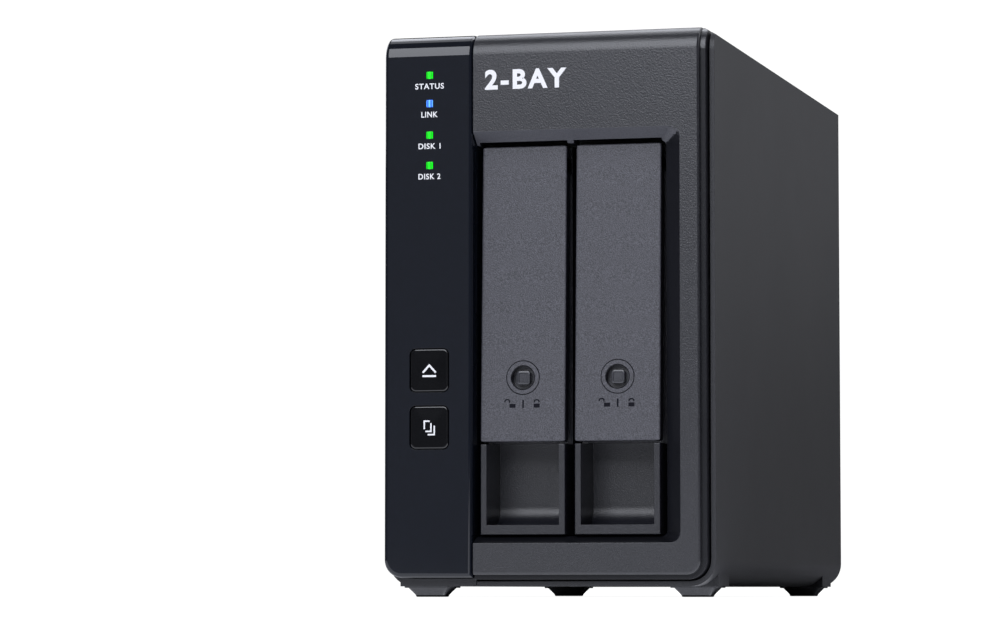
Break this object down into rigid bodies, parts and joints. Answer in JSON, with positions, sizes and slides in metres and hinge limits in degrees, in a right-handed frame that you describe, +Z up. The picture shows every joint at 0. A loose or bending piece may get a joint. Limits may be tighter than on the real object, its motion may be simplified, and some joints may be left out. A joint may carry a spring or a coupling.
{
  "type": "network attached storage",
  "caption": "Upright two-bay disk enclosure with lever-fronted slide-in trays, a glossy light and button column, rear fan and sockets.",
  "frame": {"origin": "on the surface it stands on, under the middle of the case's box", "axes": "+X to the right seen from the front, +Y towards the rear sockets, +Z up"},
  "size_m": [0.102, 0.219, 0.1717],
  "materials": {
    "case_plastic": "fine textured grey-black moulding",
    "bezel_plastic": "leather-like moulded grain, dark grey",
    "gloss_plastic": "polished black",
    "button_plastic": "satin black cap",
    "tray_plastic": "fine sparkle grain, mid grey",
    "tray_inner": "plain dark grey moulding",
    "lock_plastic": "plain dark grey moulding",
    "rear_plastic": "plain black panel",
    "foot_rubber": "moulded rubber",
    "green_light": "clear pipe lit green",
    "blue_light": "clear pipe lit blue",
    "lamp": "lamp chip",
    "circuit_board": "green solder mask",
    "black_part": "plain black moulding",
    "cage_plastic": "plain black moulding",
    "steel": "zinc plated",
    "bright_metal": "plated socket shell",
    "cast_alloy": "cast and machined",
    "fin_alloy": "anodised fins"
  },
  "bodies": {
    "case": {"left_shell": "case_plastic", "right_shell": "case_plastic", "front_bezel": "bezel_plastic", "gloss_panel": "gloss_plastic", "rear_panel": "rear_plastic", "case_screws": "steel", "rubber_feet": "foot_rubber", "green_light_pipes": "green_light", "blue_light_pipe": "blue_light", "lamps": "lamp", "front_board": "circuit_board", "front_switches": "black_part", "drive_cage": "cage_plastic", "backplane_board": "circuit_board", "backplane_posts": "steel", "drive_sockets": "black_part", "main_board": "circuit_board", "board_screws": "steel", "board_chips": "black_part", "heat_sink": "fin_alloy", "usb_socket": "bright_metal", "dc_jack": "black_part", "mode_switch": "black_part", "power_switch": "black_part", "fan_frame": "black_part", "fan_screws": "steel"},
    "eject_button": {"eject_button": "button_plastic"},
    "copy_button": {"copy_button": "button_plastic"},
    "power_button": {"power_button": "button_plastic"},
    "fan_rotor": {"fan_rotor": "black_part"},
    "mode_slider_1": {"mode_slider_1": "lamp"},
    "mode_slider_2": {"mode_slider_2": "lamp"},
    "mode_slider_3": {"mode_slider_3": "lamp"},
    "tray_1": {"tray_1_body": "tray_inner", "tray_1_pin": "steel", "tray_1_disk_base": "cast_alloy", "tray_1_disk_cover": "steel", "tray_1_disk_board": "circuit_board", "tray_1_disk_screws": "steel"},
    "tray_1_lever": {"tray_1_lever": "tray_plastic"},
    "tray_1_lock": {"tray_1_lock": "lock_plastic", "tray_1_cam": "steel"},
    "tray_2": {"tray_2_body": "tray_inner", "tray_2_pin": "steel", "tray_2_disk_base": "cast_alloy", "tray_2_disk_cover": "steel", "tray_2_disk_board": "circuit_board", "tray_2_disk_screws": "steel"},
    "tray_2_lever": {"tray_2_lever": "tray_plastic"},
    "tray_2_lock": {"tray_2_lock": "lock_plastic", "tray_2_cam": "steel"}
  },
  "joints": [
    {"name": "eject_press", "type": "slide", "parent": "case", "child": "eject_button", "axis": [0, 1, 0], "range_m": [0, 0.0005], "stiffness_N_per_m": 2000},
    {"name": "copy_press", "type": "slide", "parent": "case", "child": "copy_button", "axis": [0, 1, 0], "range_m": [0, 0.0005], "stiffness_N_per_m": 2000},
    {"name": "power_press", "type": "slide", "parent": "case", "child": "power_button", "axis": [0, -1, 0], "range_m": [0, 0.0005], "stiffness_N_per_m": 2000},
    {"name": "mode_slide_1", "type": "slide", "parent": "case", "child": "mode_slider_1", "axis": [1, 0, 0], "range_m": [0, 0.0016]},
    {"name": "mode_slide_2", "type": "slide", "parent": "case", "child": "mode_slider_2", "axis": [1, 0, 0], "range_m": [0, 0.0016]},
    {"name": "mode_slide_3", "type": "slide", "parent": "case", "child": "mode_slider_3", "axis": [1, 0, 0], "range_m": [0, 0.0016]},
    {"name": "fan_spin", "type": "hinge", "parent": "case", "child": "fan_rotor", "pos_m": [0.0065, 0.0955, 0.096], "axis": [0, 1, 0], "continuous": true},
    {"name": "tray_1_slide", "type": "slide", "parent": "case", "child": "tray_1", "axis": [0, -1, 0], "range_m": [0, 0.15]},
    {"name": "tray_1_lever_swing", "type": "hinge", "parent": "tray_1", "child": "tray_1_lever", "pos_m": [-0.0082, -0.0995, 0.131], "axis": [-1, 0, 0], "range_deg": [0, 30]},
    {"name": "tray_1_lock_turn", "type": "hinge", "parent": "tray_1_lever", "child": "tray_1_lock", "pos_m": [-0.0082, -0.1059, 0.06629], "axis": [0, -0.9995, 0.0311], "range_deg": [0, 90]},
    {"name": "tray_2_slide", "type": "slide", "parent": "case", "child": "tray_2", "axis": [0, -1, 0], "range_m": [0, 0.15]},
    {"name": "tray_2_lever_swing", "type": "hinge", "parent": "tray_2", "child": "tray_2_lever", "pos_m": [0.0212, -0.0995, 0.131], "axis": [-1, 0, 0], "range_deg": [0, 30]},
    {"name": "tray_2_lock_turn", "type": "hinge", "parent": "tray_2_lever", "child": "tray_2_lock", "pos_m": [0.0212, -0.1059, 0.06629], "axis": [0, -0.9995, 0.0311], "range_deg": [0, 90]}
  ]
}
